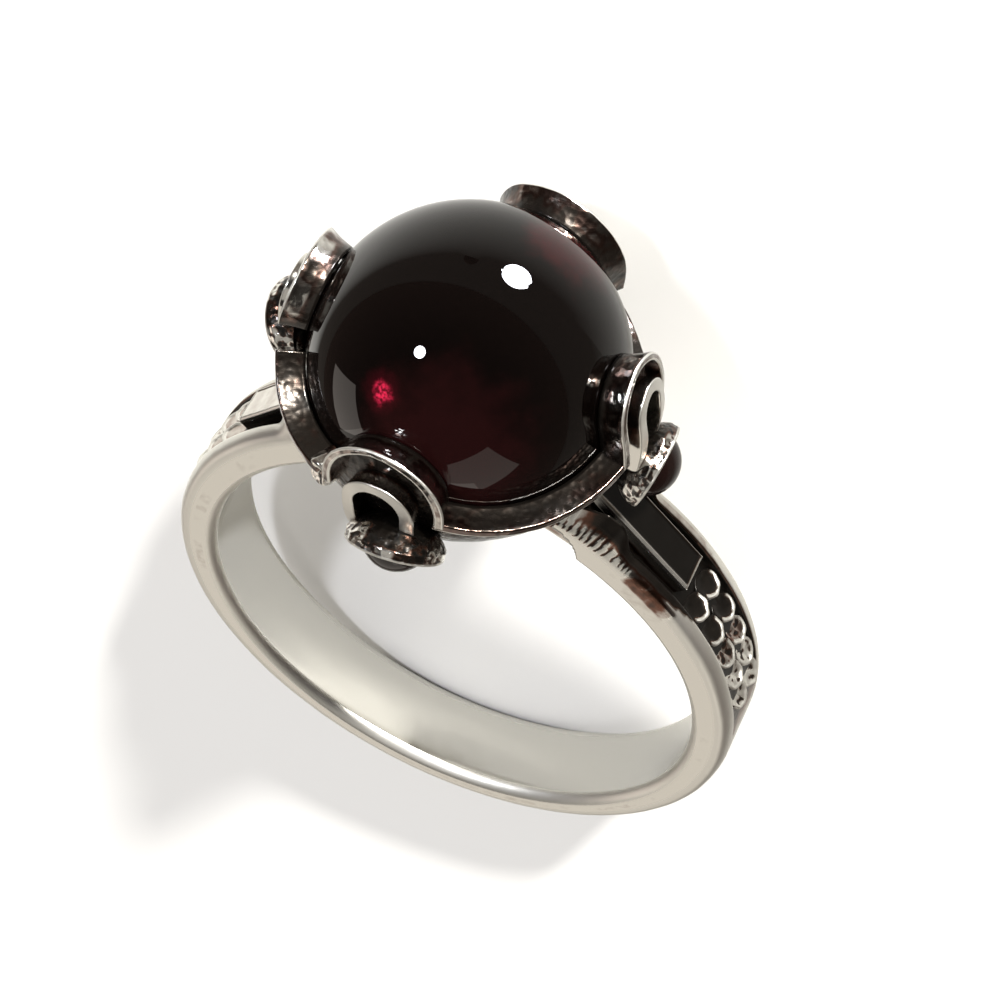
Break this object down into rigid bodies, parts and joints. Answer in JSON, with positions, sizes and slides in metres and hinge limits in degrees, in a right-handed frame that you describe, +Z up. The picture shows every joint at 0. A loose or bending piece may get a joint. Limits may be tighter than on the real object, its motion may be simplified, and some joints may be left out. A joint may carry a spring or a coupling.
{
  "type": "garnet ring",
  "caption": "Silver finger ring with a large domed garnet in a round head of arched lobes, each with a small garnet in a cup.",
  "frame": {"origin": "middle of the footprint of the ring as it lies on its side, on the surface it rests on", "axes": "+Z up; the head with the large garnet points along -Y and the back of the band along +Y; X across the finger"},
  "size_m": [0.0208, 0.0286, 0.0134],
  "materials": {
    "silver": "cast sterling silver, polished on the outward faces and blackened in the recesses",
    "garnet": "polished dark red garnet"
  },
  "bodies": {
    "root": {"ring_body": "silver", "large_garnet": "garnet", "front_garnet": "garnet", "right_garnet": "garnet", "back_garnet": "garnet", "left_garnet": "garnet"}
  },
  "joints": []
}
